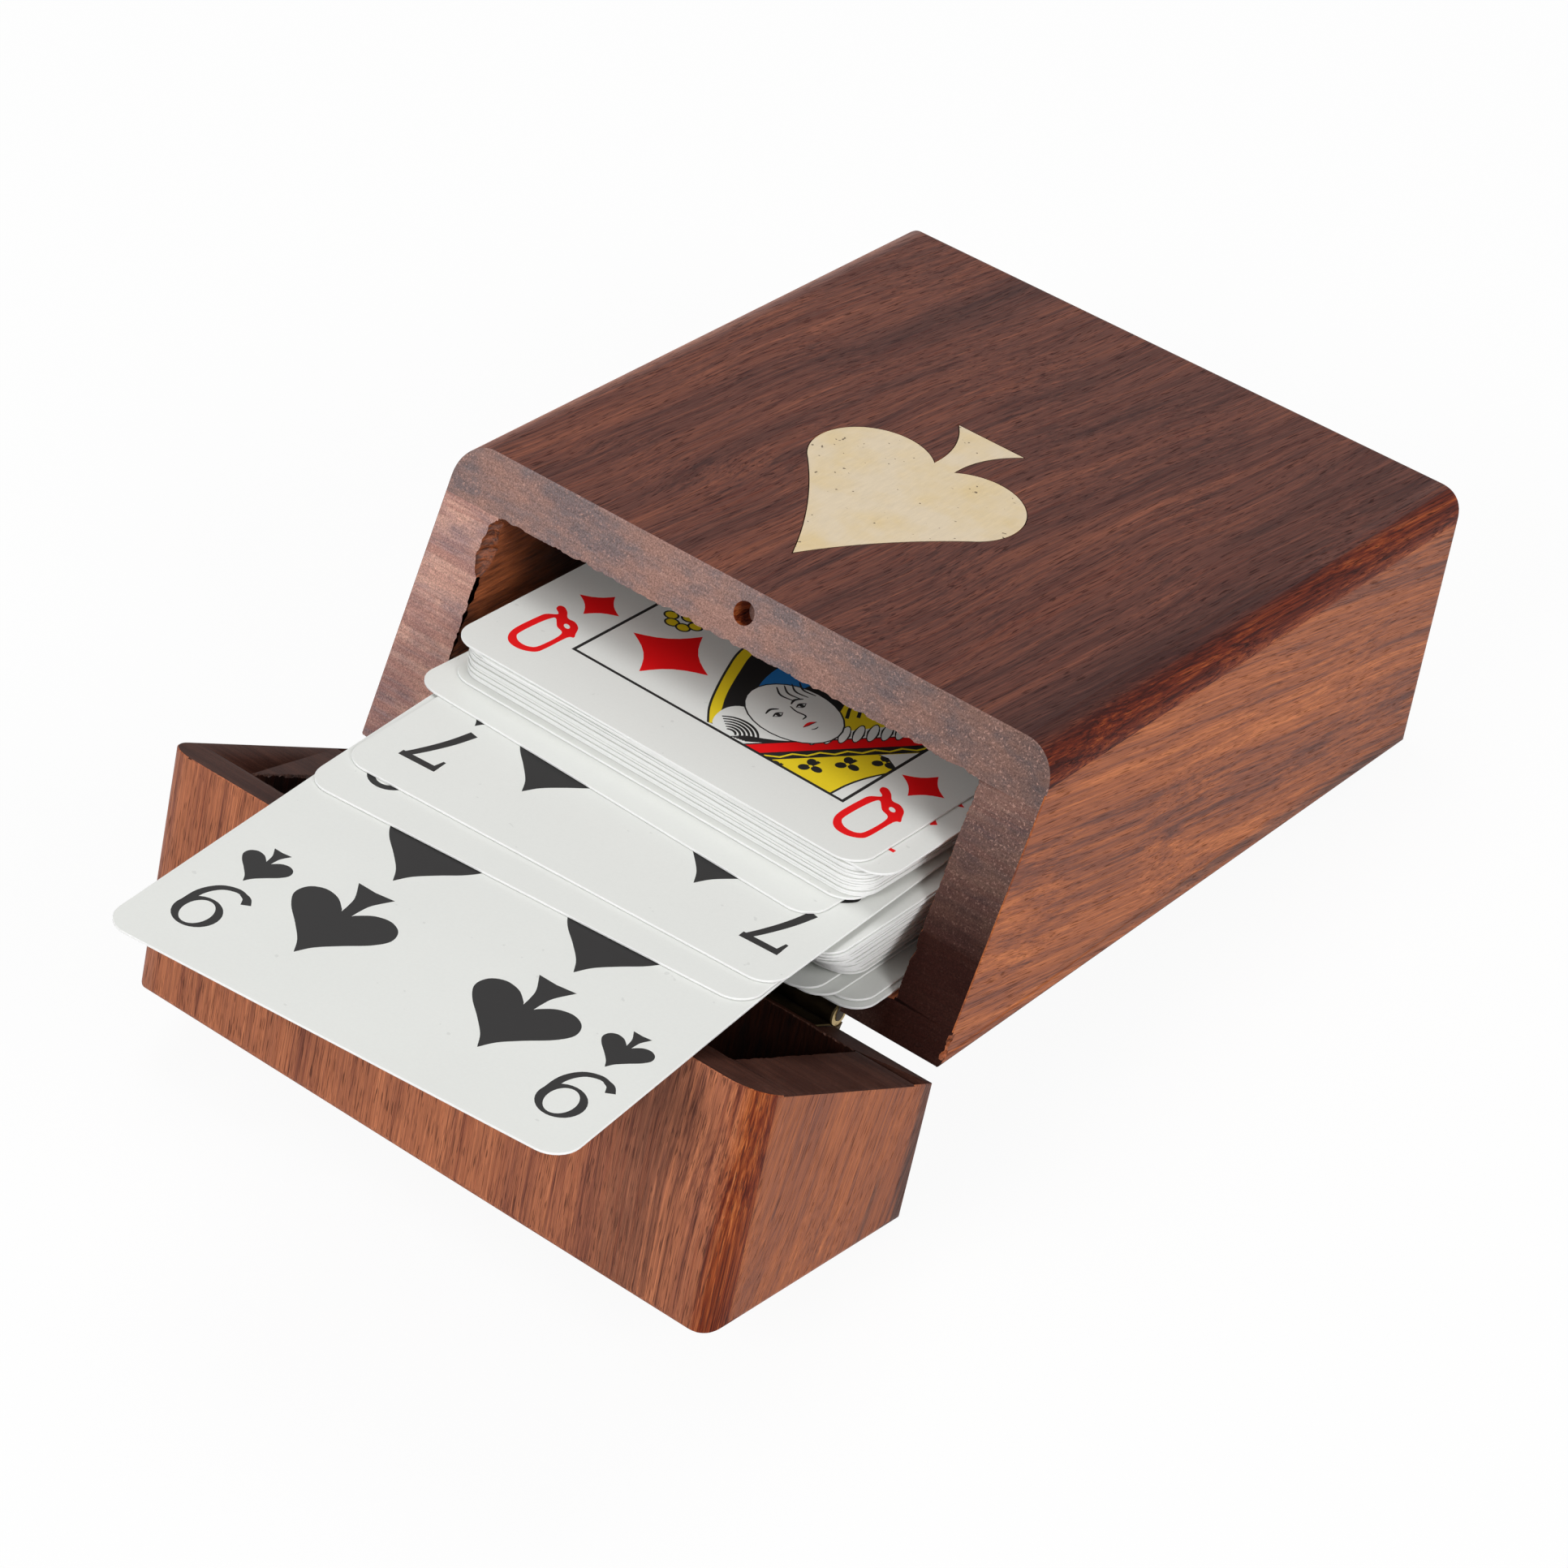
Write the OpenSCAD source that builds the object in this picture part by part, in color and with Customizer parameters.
// Hinged wooden box for one deck of playing cards, glued up whole and then sawn apart on a slant.
// The box is drawn closed, with the lower edge of the saw cut at the origin, X across the box,
// Y towards the rear and Z up. The lid then swings open, and the whole is set down as it rests.

/* [Cards] */
// Width of one card
card_w = 57; // [50:0.5:70]
// Length of one card
card_l = 88; // [75:0.5:110]
// Thickness of one card
card_t = 0.28; // [0.22:0.01:0.34]
// Air left between one card and the next
card_air = 0.03; // [0.02:0.01:0.08]
// Radius of a card's corners
card_corner_r = 3.2; // [1:0.1:6]
// Number of cards in the packet above the two loose cards
upper_count = 12; // [4:1:16]
// Number of cards in the packet below the nine
lower_count = 29; // [12:1:34]

/* [Box] */
// Play beside the cards, both sides together
side_slack = 9.4; // [6:0.1:16]
// Free height over the deck
headroom = 7.8; // [5:0.1:16]
// Free length inside the closed lid, in front of the cards
lid_hollow = 11.1; // [8:0.1:20]
// Thickness of the side boards
side_t = 7.8; // [5:0.1:12]
// Thickness of the top board
top_t = 6.2; // [5:0.1:10]
// Thickness of the bottom board
bottom_t = 4; // [3.4:0.1:8]
// Thickness of the rear block
rear_t = 6.5; // [4:0.1:12]
// Thickness of the end block in the lid
lid_end_t = 7; // [4:0.1:12]
// How much further back the saw cut is at the top than at the bottom
mouth_rake = 12.7; // [6:0.1:20]
// Width of the saw cut
saw_gap = 0.3; // [0.2:0.05:0.6]
// Radius of the two long top edges
top_edge_r = 4.5; // [1:0.1:4.9]
// Radius of the sanded edges round the two ends
end_edge_r = 1.2; // [0.4:0.1:2]
// Radius of the two long bottom edges
bottom_edge_r = 0.6; // [0.3:0.1:2]

/* [Spade inlay] */
// Length of the brass spade, from its tip to the foot of its stem
spade_l = 37; // [24:0.5:50]
// Width of the brass spade across its lobes
spade_w = 27.3; // [18:0.5:36]
// Distance of the tip behind the lower edge of the saw cut
spade_tip_y = 22.2; // [16:0.1:36]
// Sideways place of the spade's centre line
spade_x = -1.8; // [-6:0.1:6]
// Thickness of the brass sheet
inlay_t = 1.2; // [0.6:0.1:2]
// Glue line left all round the brass
inlay_gap = 0.12; // [0.05:0.01:0.3]

/* [Fits] */
// Clearance round what is glued, nailed or pressed into wood
seat_gap = 0.02; // [0.01:0.01:0.05]

/* [Hinge] */
// Length of the hinge
hinge_l = 55; // [30:1:60]
// Outside diameter of the barrel
barrel_d = 2.6; // [2.2:0.1:3.4]
// Diameter of the hinge pin
pin_d = 1.4; // [1:0.1:1.6]
// Radial clearance of the pin
pin_gap = 0.05; // [0.02:0.01:0.08]
// Thickness of the leaves
leaf_t = 0.6; // [0.4:0.05:0.8]
// Height of the leaves above the bottom edge of the cut
leaf_h = 3.4; // [2.6:0.1:4]
// Number of knuckles, an odd count
knuckle_count = 5; // [3:2:9]
// Gap between neighbouring knuckles, and round each of them
knuckle_gap = 0.2; // [0.1:0.05:0.3]
// Distance of the pin behind the face of the cut
pin_in = 1.05; // [0.6:0.05:1.3]
// Distance of the pin below the bottom edge of the cut
pin_down = 0.6; // [0.4:0.05:1.2]
// Number of brads in each leaf
brad_count = 4; // [2:1:6]
// Length of a brad
brad_l = 4; // [3:0.1:5]
// Diameter of a brad's shank
brad_d = 0.9; // [0.6:0.05:1.1]
// Diameter of a brad's head
brad_head_d = 1.7; // [1.3:0.1:2]

/* [Catch] */
// Diameter of the catch hole
catch_d = 2.7; // [2:0.1:3]
// Depth of the catch hole
catch_depth = 3.2; // [2.4:0.1:5]
// Distance of the catch hole's centre below the top face
catch_down = 2.6; // [2.2:0.1:3.4]
// Diameter of the domed peg that enters the hole
peg_d = 2.4; // [1.6:0.1:2.8]
// Length of the peg that stands proud of the lid
peg_proud = 1.5; // [1.3:0.1:1.8]
// Length of the peg that is seated in the lid
peg_seat = 3.2; // [2:0.1:6]

/* [How the cards lie] */
// Nine: millimetres to the right, millimetres drawn out from the rear block, and degrees turned
nine_lie = [6.3, 59.2, 5.2]; // [-8:0.1:62]
// Eight
eight_lie = [3.1, 26.2, 4.3]; // [-8:0.1:62]
// Seven
seven_lie = [3.2, 21.3, 2.6]; // [-8:0.1:62]
// Lower one of the two loose cards
lower_loose_lie = [-1.4, 6.9, -2.2]; // [-8:0.1:62]
// Upper one of the two loose cards
upper_loose_lie = [0.2, 2.6, -1]; // [-8:0.1:62]
// Packet above the loose cards
upper_packet_lie = [0.7, 1.6, -1.1]; // [-8:0.1:62]
// Jack
jack_lie = [3, 2, 0.4]; // [-8:0.1:62]
// Queen
queen_lie = [-0.2, 2.1, -0.75]; // [-8:0.1:62]
// Lowest card of the packet below the nine
lower_packet_lie = [0.6, 1.4, 0]; // [-8:0.1:62]
// How much further right and out the top card of that packet lies
lower_packet_lean = [3, 9.4]; // [0:0.1:12]
// Lowest card of the deck
bottom_1_lie = [4, 4, 0.3]; // [-8:0.1:62]
// Second card from the bottom
bottom_2_lie = [3.4, 3.4, 0.5]; // [-8:0.1:62]
// Third card from the bottom
bottom_3_lie = [0.6, 5.5, -0.4]; // [-8:0.1:62]
// Fourth card from the bottom
bottom_4_lie = [-1, 6, -0.9]; // [-8:0.1:62]
// How far the cards in a packet stray from their line
stray = 0.3; // [0:0.05:0.4]
// Extra air between the four lowest cards
fan_air = 0.12; // [0.05:0.01:0.2]
// Air between the rim of the open lid and the nine
rim_air = 0.55; // [0.5:0.05:1.5]

/* [Hidden] */
$fn = 48;
// Sides of round pieces and corners that are too small or too many to be smooth
few = 12;

// Heights of the layers of the deck, from the lowest card up
step = card_t + card_air;
fan_step = card_t + fan_air;
fan_count = 4;
fan_z = bottom_t + card_air;
lower_z = fan_z + fan_count * fan_step;
nine_z = lower_z + lower_count * step;
eight_z = nine_z + step;
seven_z = eight_z + step;
lower_loose_z = seven_z + step;
upper_loose_z = lower_loose_z + step;
upper_z = upper_loose_z + step;
jack_z = upper_z + upper_count * step;
queen_z = jack_z + step;
deck_top = queen_z + card_t;

// Outside of the closed box
inner_w = card_w + side_slack;
box_w = inner_w + 2 * side_t;
ceiling_z = deck_top + headroom;
box_h = ceiling_z + top_t;
body_l = card_l + rear_t;
lid_l = lid_hollow + lid_end_t;
mouth_angle = atan(mouth_rake / box_h);
half_gap = saw_gap / 2;
margin = 20;

// The cards' places are given for this play on each side and this length of card
lie_play = 4.7;
lie_length = 88;
ease = side_slack / 2 / lie_play;

// Hinge pin, in the closed box
pin_y = pin_in * cos(mouth_angle) - pin_down * sin(mouth_angle);
pin_z = -pin_in * sin(mouth_angle) - pin_down * cos(mouth_angle);
pin_r = pin_d / 2;
barrel_r = barrel_d / 2;
knuckle_l = hinge_l / knuckle_count;
// Middle of a leaf's wall and the height of its brads, along the face of the cut
brad_z = leaf_h * 0.62;
brad_pitch = hinge_l / brad_count;
brad_head_t = leaf_t * 0.45;
// The notch for the barrel is as wide as the barrel where it opens through the underside
notch_r = max(barrel_r + knuckle_gap, norm([barrel_r + 2 * seat_gap, pin_z]));

// The lid is open until the top edge of its mouth lies just under the nine
rim_y = mouth_rake - half_gap / cos(mouth_angle) - pin_y;
rim_z = box_h - pin_z;
rim_r = sqrt(rim_y * rim_y + rim_z * rim_z);
lid_open = 180 - asin((nine_z - rim_air - pin_z) / rim_r) - atan2(rim_z, rim_y);

// The box rests on the rear bottom edge of its body and on the front bottom edge of its lid. Each of
// them is round, and the centres of the two rounds come to lie at the same height.
foot_in = [end_edge_r - lid_l - pin_y, end_edge_r - pin_z];
foot_y = pin_y + foot_in[0] * cos(lid_open) - foot_in[1] * sin(lid_open);
foot_z = pin_z + foot_in[0] * sin(lid_open) + foot_in[1] * cos(lid_open);
heel_y = body_l - end_edge_r;
pitch = atan2(end_edge_r - foot_z, heel_y - foot_y);
nine_turn = nine_lie[2] * ease * lie_length / card_l;
front_y = -nine_lie[1] - sin(nine_turn) * (card_w / 2 - card_corner_r)
    - card_corner_r * (1 - cos(nine_turn));
front_end = front_y * cos(pitch) + nine_z * sin(pitch);
rear_end = heel_y * cos(pitch) + (box_h - end_edge_r) * sin(pitch) + end_edge_r;
shift_y = -(front_end + rear_end) / 2;
shift_z = end_edge_r + heel_y * sin(pitch) - end_edge_r * cos(pitch);
echo(pitch = pitch, lid_open = lid_open, box_w = box_w, box_h = box_h, body_l = body_l, lid_l = lid_l);
echo(shift_y = shift_y, shift_z = shift_z, pin_y = pin_y, pin_z = pin_z, mouth_angle = mouth_angle);
echo(nine_z = nine_z, deck_top = deck_top, ceiling_z = ceiling_z);

// Sets the box down as it rests, front end up
module at_rest() {
    translate([0, shift_y, shift_z])
        rotate([-pitch, 0, 0])
            children();
}

// Swings the lid open about the hinge pin
module swung() {
    at_rest()
        translate([0, pin_y, pin_z])
            rotate([lid_open, 0, 0])
                translate([0, -pin_y, -pin_z])
                    children();
}

// Stands on the face of the saw cut: Y goes into the body, Z goes up the cut
module on_mouth() {
    rotate([-mouth_angle, 0, 0])
        children();
}

// Everything behind the saw cut, for the body
module body_region() {
    on_mouth()
        translate([-box_w, half_gap, -margin])
            cube([2 * box_w, 2 * body_l, 3 * box_h]);
}

// Everything in front of the saw cut, for the lid
module lid_region() {
    on_mouth()
        translate([-box_w, -half_gap - 2 * body_l, -margin])
            cube([2 * box_w, 2 * body_l, 3 * box_h]);
}

// Upright outline from x0 to x1 and from 0 to the given height, with a radius for its two lower corners
// and one for its two upper corners
module eased_outline(x0, x1, height, lower_r, upper_r) {
    for (corner = [
        [x0 + lower_r, lower_r, lower_r], [x1 - lower_r, lower_r, lower_r],
        [x0 + upper_r, height - upper_r, upper_r], [x1 - upper_r, height - upper_r, upper_r]
    ])
        translate([corner[0], corner[1]])
            circle(corner[2]);
    translate([x0, lower_r])
        square([x1 - x0, height - lower_r - upper_r]);
    translate([x0 + lower_r, 0])
        square([x1 - x0 - 2 * lower_r, height / 2]);
    translate([x0 + upper_r, height / 2])
        square([x1 - x0 - 2 * upper_r, height / 2]);
}

// What the rounded outside of the closed box leaves of a board
module eased() {
    intersection() {
        children();
        translate([0, body_l + margin, 0])
            rotate([90, 0, 0])
                linear_extrude(body_l + lid_l + 2 * margin)
                    eased_outline(-box_w / 2, box_w / 2, box_h, bottom_edge_r, top_edge_r);
        translate([-box_w, 0, 0])
            rotate([90, 0, 90])
                linear_extrude(2 * box_w)
                    eased_outline(-lid_l, body_l, box_h, end_edge_r, end_edge_r);
        translate([-box_w / 2, 0, -margin])
            linear_extrude(box_h + 2 * margin)
                translate([0, -lid_l])
                    eased_outline(0, box_w, body_l + lid_l, end_edge_r, end_edge_r);
    }
}

module whole_top_board() {
    eased()
        translate([-box_w / 2, -lid_l, ceiling_z])
            cube([box_w, body_l + lid_l, top_t]);
}

module whole_bottom_board() {
    eased()
        translate([-box_w / 2, -lid_l, 0])
            cube([box_w, body_l + lid_l, bottom_t]);
}

// A side board before the cut: side is -1 for the left one and 1 for the right one
module whole_side_board(side) {
    eased()
        translate([side > 0 ? inner_w / 2 : -inner_w / 2 - side_t, -lid_l, bottom_t])
            cube([side_t, body_l + lid_l, ceiling_z - bottom_t]);
}

// A block glued in between the side boards to close one end
module end_block(y, thickness) {
    translate([-inner_w / 2, y, bottom_t])
        cube([inner_w, thickness, ceiling_z - bottom_t]);
}

// Spade with its tip at the origin, pointing along -Y, made of two lobes, a point with hollow sides
// and a flared stem. Every curve moves outwards by the given growth.
module spade_outline(grow) {
    lobe_r = 0.196 * spade_l;
    lobe_x = spade_w / 2 - lobe_r;
    lobe_y = 0.612 * spade_l;
    waist_x = 0.037 * spade_l;
    waist_y = 0.775 * spade_l;
    foot_x = 0.124 * spade_l;
    stem_h = spade_l - waist_y;
    flare_r = (pow(foot_x - waist_x, 2) + pow(stem_h, 2)) / (2 * (foot_x - waist_x));
    touch_angle = 38;
    touch = [lobe_x + lobe_r * cos(touch_angle), lobe_y - lobe_r * sin(touch_angle)];
    grown_touch = touch + grow * [cos(touch_angle), -sin(touch_angle)];
    hollow_r = 1.9 * spade_l;
    chord = norm(touch);
    sag = sqrt(pow(hollow_r, 2) - pow(chord / 2, 2));
    for (side = [-1, 1])
        translate([side * lobe_x, lobe_y])
            circle(lobe_r + grow);
    difference() {
        polygon([
            [0, -4 * grow], grown_touch, [lobe_x, lobe_y], [0, waist_y],
            [-lobe_x, lobe_y], [-grown_touch[0], grown_touch[1]]
        ]);
        for (side = [-1, 1])
            translate([
                side * (touch[0] / 2 + sag * touch[1] / chord),
                touch[1] / 2 - sag * touch[0] / chord
            ])
                circle(hollow_r - grow, $fn = 180);
    }
    difference() {
        translate([-foot_x - grow, lobe_y])
            square([2 * (foot_x + grow), spade_l + grow - lobe_y]);
        for (side = [-1, 1])
            translate([side * (waist_x + flare_r), waist_y])
                circle(flare_r - grow);
        for (side = [-1, 1])
            translate([side > 0 ? waist_x + grow : -waist_x - grow - spade_l, 0])
                square([spade_l, waist_y]);
    }
}

// The spade in its place in the top board, down to the given depth
module spade_in_place(depth, height, grow) {
    translate([spade_x, spade_tip_y, box_h - depth])
        linear_extrude(height)
            spade_outline(grow);
}

// A round rod along X through the hinge pin's axis, over one stretch of the hinge
module rod(radius, from, length) {
    translate([from, pin_in, -pin_down])
        rotate([0, 90, 0])
            cylinder(r = radius, h = length);
}

// Knuckle number k occupies this stretch of the hinge
module knuckle(k, radius, grow) {
    rod(radius, k * knuckle_l - hinge_l / 2 + knuckle_gap / 2 - grow, knuckle_l - knuckle_gap + 2 * grow);
}

// Brads along one leaf: facing is 1 for the body and -1 for the lid
module brad_rods(facing, radius, length) {
    for (k = [0 : brad_count - 1])
        translate([(k + 0.5) * brad_pitch - hinge_l / 2, facing * half_gap, brad_z])
            rotate([facing > 0 ? -90 : 90, 0, 0])
                cylinder(r = radius, h = length, $fn = few);
}

// Seat for a leaf, the barrel and the brads in the end of a bottom board
module leaf_seat(facing) {
    depth = leaf_t + seat_gap;
    on_mouth() {
        translate([
            -hinge_l / 2 - knuckle_gap,
            facing > 0 ? half_gap - margin : -half_gap - depth,
            -margin
        ])
            cube([hinge_l + 2 * knuckle_gap, margin + depth, margin + leaf_h + seat_gap]);
        rod(notch_r, -hinge_l / 2 - knuckle_gap, hinge_l + 2 * knuckle_gap);
        brad_rods(facing, brad_d / 2 + seat_gap, brad_l + seat_gap);
    }
}

// One leaf with the knuckles that belong to it, and holes for its brads
module hinge_leaf(facing) {
    first = facing > 0 ? 0 : 1;
    foot_h = 0.55 * barrel_d;
    on_mouth()
        difference() {
            union() {
                difference() {
                    union() {
                        translate([-hinge_l / 2, facing > 0 ? half_gap : -half_gap - leaf_t, -pin_down])
                            cube([hinge_l, leaf_t, pin_down + leaf_h]);
                        if (facing < 0)
                            translate([-hinge_l / 2, -half_gap - leaf_t, -pin_down - foot_h + leaf_t / 3])
                                cube([hinge_l, pin_in + half_gap + leaf_t, leaf_t]);
                        if (facing < 0)
                            translate([-hinge_l / 2, -half_gap - leaf_t, -pin_down - foot_h + leaf_t / 3])
                                cube([hinge_l, leaf_t, foot_h + pin_down]);
                    }
                    for (k = [1 - first : 2 : knuckle_count - 1])
                        knuckle(k, barrel_r + knuckle_gap, knuckle_gap);
                }
                for (k = [first : 2 : knuckle_count - 1])
                    knuckle(k, barrel_r, 0);
            }
            rod(pin_r + pin_gap, -hinge_l, 2 * hinge_l);
            brad_rods(facing, brad_d / 2 + seat_gap, leaf_t + margin);
            brad_rods(facing, brad_head_d / 2 + seat_gap, brad_head_t);
        }
}

// Height of the catch's axis, measured up the face of the cut
catch_z = (box_h - catch_down) / cos(mouth_angle);

// A round rod square to the face of the cut, at the catch
module catch_rod(radius, from, length) {
    on_mouth()
        translate([0, from, catch_z])
            rotate([-90, 0, 0])
                cylinder(r = radius, h = length);
}

// One card lying flat: z is its underside, lie is its place to the right, out and turned
module card(z, lie) {
    translate([lie[0] * ease, -lie[1], z])
        rotate([0, 0, lie[2] * ease * lie_length / card_l])
            linear_extrude(card_t)
                union() {
                    translate([card_corner_r - card_w / 2, 0])
                        square([card_w - 2 * card_corner_r, card_l]);
                    translate([-card_w / 2, card_corner_r])
                        square([card_w, card_l - 2 * card_corner_r]);
                    for (side = [-1, 1])
                        for (y = [card_corner_r, card_l - card_corner_r])
                            translate([side * (card_w / 2 - card_corner_r), y])
                                circle(card_corner_r);
                }
}

// How far card number k of a packet strays to the right, out and in its turn
function strayed(k) = stray * [sin(k * 97), sin(k * 139), sin(k * 71)];

// Body of the box

module top_board() {
    color("#6b4238")
        at_rest()
            difference() {
                intersection() {
                    whole_top_board();
                    body_region();
                }
                spade_in_place(inlay_t + seat_gap, margin, inlay_gap);
                catch_rod(catch_d / 2, half_gap - 1, catch_depth + 1);
            }
}

module bottom_board() {
    color("#5a342b")
        at_rest()
            difference() {
                intersection() {
                    whole_bottom_board();
                    body_region();
                }
                leaf_seat(1);
            }
}

module left_side_board() {
    color("#8a5340")
        at_rest()
            intersection() {
                whole_side_board(-1);
                body_region();
            }
}

module right_side_board() {
    color("#a5674a")
        at_rest()
            intersection() {
                whole_side_board(1);
                body_region();
            }
}

module rear_block() {
    color("#7d4a39")
        at_rest()
            end_block(card_l, rear_t);
}

module spade_inlay() {
    color("#dcc592")
        at_rest()
            spade_in_place(inlay_t, inlay_t, 0);
}

module hinge_body_leaf() {
    color("#6e5a35")
        at_rest()
            hinge_leaf(1);
}

module hinge_pin() {
    color("#8a7346")
        at_rest()
            on_mouth()
                rod(pin_r, -hinge_l / 2, hinge_l);
}

module hinge_body_brads() {
    color("#8a7346")
        at_rest()
            on_mouth() {
                brad_rods(1, brad_d / 2, brad_l);
                brad_rods(1, brad_head_d / 2, brad_head_t - seat_gap);
            }
}

// Lid

module lid_top_board() {
    color("#8f4f38")
        swung()
            difference() {
                intersection() {
                    whole_top_board();
                    lid_region();
                }
                catch_rod(peg_d / 2 + seat_gap, -half_gap - peg_seat, peg_seat + 1);
            }
}

module lid_bottom_board() {
    color("#4d3029")
        swung()
            difference() {
                intersection() {
                    whole_bottom_board();
                    lid_region();
                }
                leaf_seat(-1);
            }
}

module lid_left_side() {
    color("#8a5340")
        swung()
            intersection() {
                whole_side_board(-1);
                lid_region();
            }
}

module lid_right_side() {
    color("#8d4a34")
        swung()
            intersection() {
                whole_side_board(1);
                lid_region();
            }
}

module lid_end_block() {
    color("#9a5a40")
        swung()
            end_block(-lid_l, lid_end_t);
}

module hinge_lid_leaf() {
    color("#6e5a35")
        swung()
            hinge_leaf(-1);
}

module hinge_lid_brads() {
    color("#8a7346")
        swung()
            on_mouth() {
                brad_rods(-1, brad_d / 2, brad_l);
                brad_rods(-1, brad_head_d / 2, brad_head_t - seat_gap);
            }
}

module catch_peg() {
    color("#c9ad6a")
        swung()
            on_mouth()
                translate([0, -half_gap - peg_seat, catch_z])
                    rotate([-90, 0, 0])
                        rotate_extrude()
                            intersection() {
                                square([peg_d / 2, peg_seat + peg_proud]);
                                union() {
                                    square([peg_d / 2, peg_seat + peg_proud - peg_d / 2]);
                                    translate([0, peg_seat + peg_proud - peg_d / 2])
                                        circle(peg_d / 2);
                                }
                            }
}

// Deck

module nine_of_spades() {
    color("#e6e7e1")
        at_rest()
            card(nine_z, nine_lie);
}

module eight_of_spades() {
    color("#e6e7e1")
        at_rest()
            card(eight_z, eight_lie);
}

module seven_of_spades() {
    color("#e6e7e1")
        at_rest()
            card(seven_z, seven_lie);
}

module lower_loose_card() {
    color("#e6e7e1")
        at_rest()
            card(lower_loose_z, lower_loose_lie);
}

module upper_loose_card() {
    color("#e6e7e1")
        at_rest()
            card(upper_loose_z, upper_loose_lie);
}

// Packet below the queen and the jack, its cards a little out of line
module upper_packet() {
    color("#dfe0da")
        at_rest()
            for (k = [0 : upper_count - 1])
                card(upper_z + k * step, upper_packet_lie + strayed(k), $fn = few);
}

module jack_of_diamonds() {
    color("#e6e7e1")
        at_rest()
            card(jack_z, jack_lie);
}

module queen_of_diamonds() {
    color("#e6e7e1")
        at_rest()
            card(queen_z, queen_lie);
}

// Packet below the nine, which leans out further towards its top
module lower_packet() {
    lean = [lower_packet_lean[0], lower_packet_lean[1], 0] / (lower_count - 1);
    color("#dfe0da")
        at_rest()
            for (k = [0 : lower_count - 1])
                card(lower_z + k * step, lower_packet_lie + k * lean + strayed(k), $fn = few);
}

module bottom_card_1() {
    color("#e6e7e1")
        at_rest()
            card(fan_z, bottom_1_lie);
}

module bottom_card_2() {
    color("#e6e7e1")
        at_rest()
            card(fan_z + fan_step, bottom_2_lie);
}

module bottom_card_3() {
    color("#e6e7e1")
        at_rest()
            card(fan_z + 2 * fan_step, bottom_3_lie);
}

module bottom_card_4() {
    color("#e6e7e1")
        at_rest()
            card(fan_z + 3 * fan_step, bottom_4_lie);
}

top_board();
bottom_board();
left_side_board();
right_side_board();
rear_block();
spade_inlay();
hinge_body_leaf();
hinge_pin();
hinge_body_brads();
lid_top_board();
lid_bottom_board();
lid_left_side();
lid_right_side();
lid_end_block();
hinge_lid_leaf();
hinge_lid_brads();
catch_peg();
nine_of_spades();
eight_of_spades();
seven_of_spades();
lower_loose_card();
upper_loose_card();
upper_packet();
jack_of_diamonds();
queen_of_diamonds();
lower_packet();
bottom_card_1();
bottom_card_2();
bottom_card_3();
bottom_card_4();
